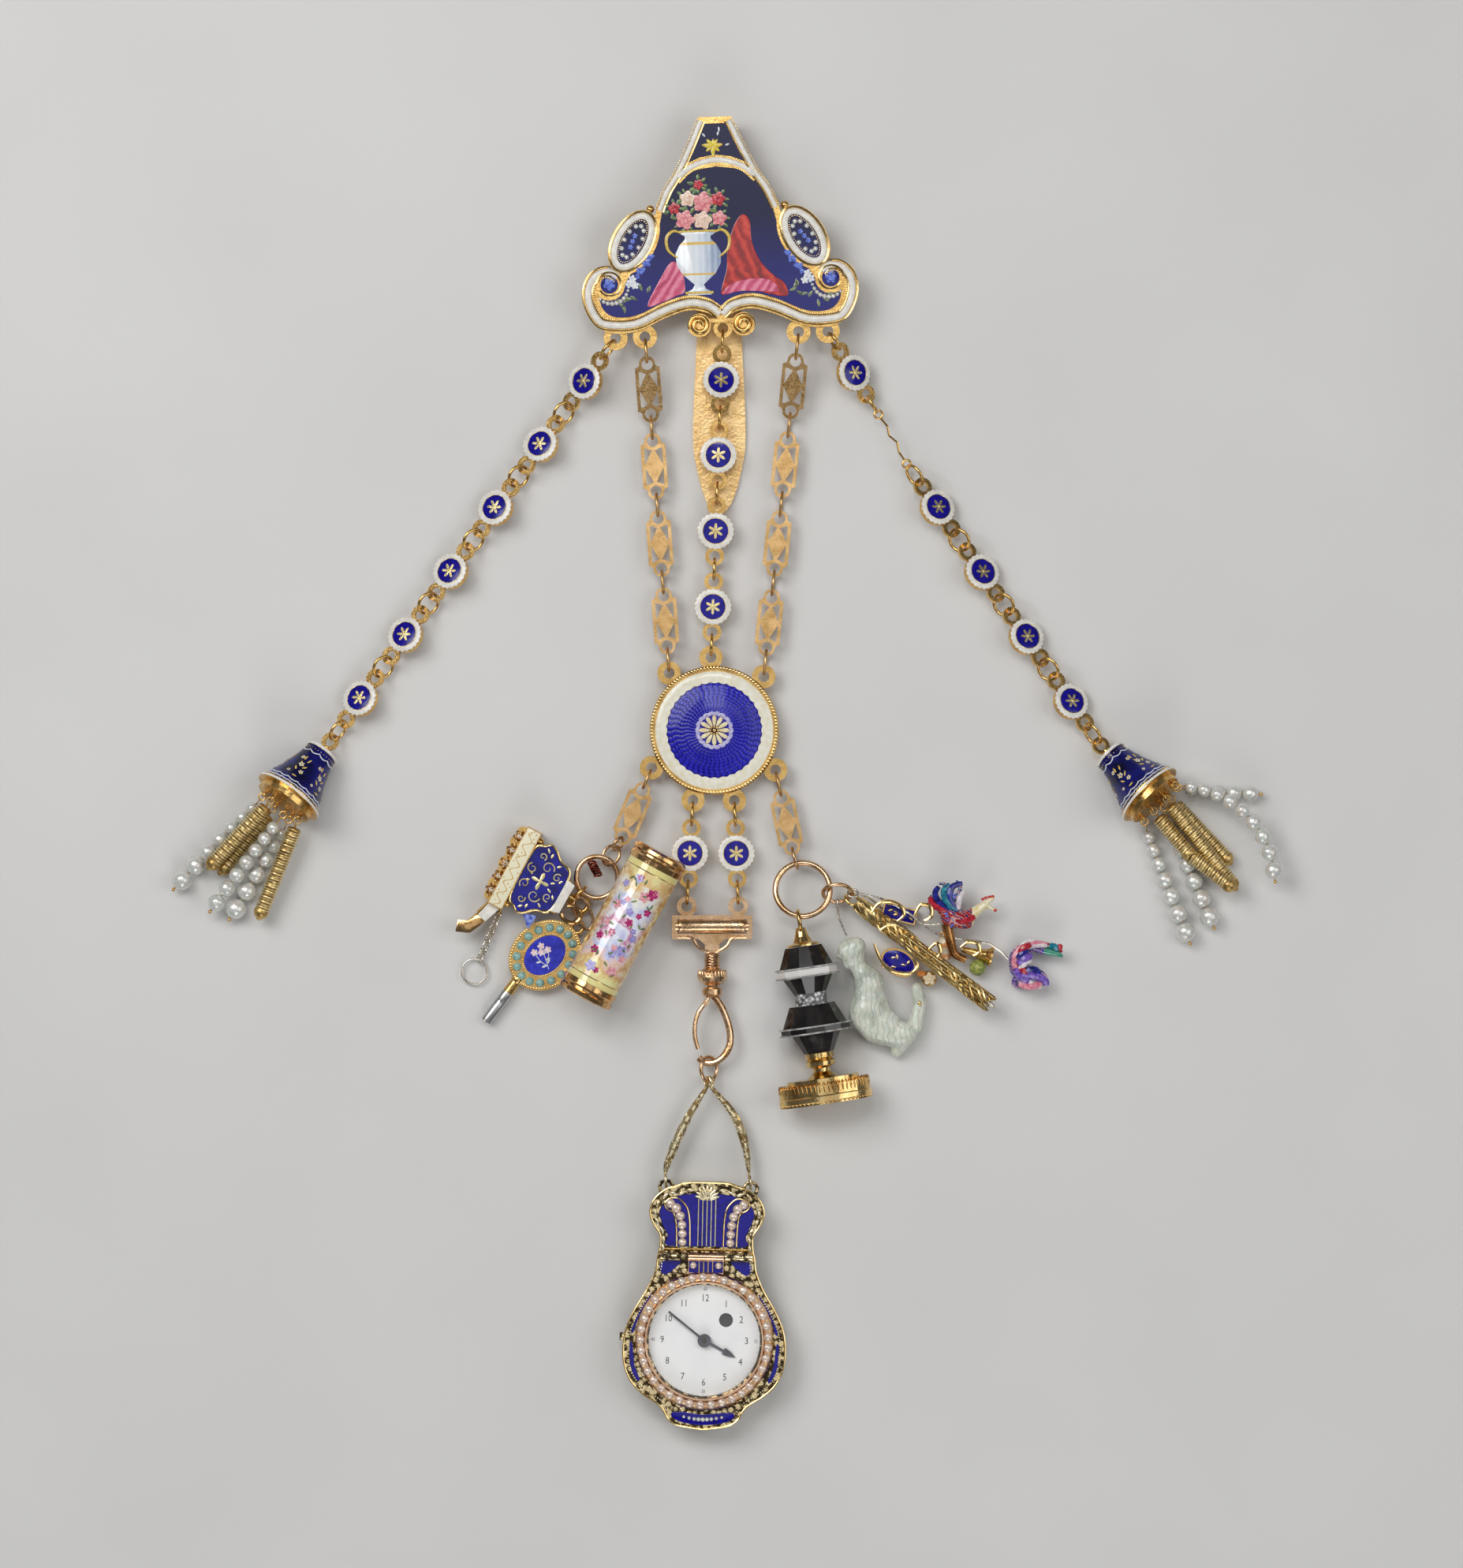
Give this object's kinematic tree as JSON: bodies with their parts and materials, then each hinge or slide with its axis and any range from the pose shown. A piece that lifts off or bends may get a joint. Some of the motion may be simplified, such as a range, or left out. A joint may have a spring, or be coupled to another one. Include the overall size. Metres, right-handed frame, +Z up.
{
  "type": "chatelaine with watch and charms",
  "caption": "Belt hook with an enamelled plaque, jointed chains, a round plate, two pearl tassels, a lyre-shaped watch on a clip, and hanging charms, lying flat",
  "frame": {"origin": "On the flat back of the belt hook, below the middle of the plaque, in the plane of the surface that it lies on", "axes": "X across the plaque, Y up along the plaque towards its top, Z up from the surface"},
  "size_m": [0.2464, 0.2905, 0.0166],
  "materials": {
    "gold": "polished and engraved gold",
    "pale_gold": "worn pale gold",
    "rose_gold": "polished reddish gold",
    "blue_enamel": "glossy translucent blue enamel",
    "dark_enamel": "glossy dark blue enamel with painted sprays",
    "white_enamel": "glossy off-white enamel",
    "painted_enamel": "painted enamel in soft colours",
    "pearl": "lustrous pearl",
    "watch_glass": "clear",
    "grey_steel": "satin",
    "smoky_stone": "cut and polished smoky stone",
    "pale_stone": "polished",
    "silver": "bright"
  },
  "bodies": {
    "main": {"belt_hook": "gold", "plaque": "gold", "plaque_field": "blue_enamel", "plaque_top_panel": "blue_enamel", "plaque_border": "white_enamel", "oval_rings": "white_enamel", "oval_centres": "blue_enamel", "left_tassel_chain": "gold", "left_tassel_enamel": "blue_enamel", "right_tassel_chain": "gold", "right_tassel_enamel": "blue_enamel", "centre_chain": "gold", "centre_enamel": "blue_enamel", "left_plate_chain": "pale_gold", "right_plate_chain": "pale_gold", "disc": "gold", "disc_white": "white_enamel", "disc_blue": "blue_enamel", "disc_rosette": "white_enamel", "left_bell": "gold", "left_bell_enamel": "dark_enamel", "right_bell": "gold", "right_bell_enamel": "dark_enamel", "left_coils": "gold", "left_pearls": "pearl", "left_threads": "gold", "right_coils": "gold", "right_pearls": "pearl", "right_threads": "gold", "clip_chains": "gold", "clip_enamel": "blue_enamel", "clip_bar": "rose_gold", "clip_hook": "rose_gold", "watch_ring": "rose_gold", "watch_bail": "gold", "watch_case": "gold", "watch_head_enamel": "blue_enamel", "watch_dial": "white_enamel", "left_charm_link": "pale_gold", "left_charm_rings": "rose_gold", "etui_body": "painted_enamel", "etui_caps": "rose_gold", "jug_charm": "gold", "jug_enamel": "blue_enamel", "watch_key": "gold", "key_enamel": "blue_enamel", "right_charm_link": "pale_gold", "right_charm_rings": "rose_gold", "seal_stone": "smoky_stone", "seal_mount": "gold", "stone_figure": "pale_stone", "gold_bundle": "gold", "roosters": "painted_enamel", "small_charms": "gold", "charm_wires": "silver"},
    "bezel": {"watch_bezel": "gold", "watch_glass": "watch_glass"},
    "minute_hand": {"minute_hand": "grey_steel"},
    "hour_hand": {"hour_hand": "grey_steel"},
    "gate": {"clip_gate": "rose_gold"}
  },
  "joints": [
    {"name": "bezel_hinge", "type": "hinge", "parent": "main", "child": "bezel", "pos_m": [-0.00291, -0.2208, 0.008], "axis": [-0.9998, 0.0209, 0], "range_deg": [0, 100]},
    {"name": "minute_turn", "type": "hinge", "parent": "main", "child": "minute_hand", "pos_m": [-0.0033, -0.2394, 0.0063], "axis": [0, 0, 1], "continuous": true},
    {"name": "hour_turn", "type": "hinge", "parent": "main", "child": "hour_hand", "pos_m": [-0.0033, -0.2394, 0.0063], "axis": [0, 0, 1], "continuous": true},
    {"name": "gate_turn", "type": "hinge", "parent": "main", "child": "gate", "pos_m": [-0.0029, -0.1646, 0.0034], "axis": [0, 0, 1], "range_deg": [0, 28], "stiffness_Nm_per_rad": 0.0005}
  ],
  "couplings": [
    {"joint": "hour_turn", "follows": "minute_turn", "ratio": 0.083333}
  ]
}
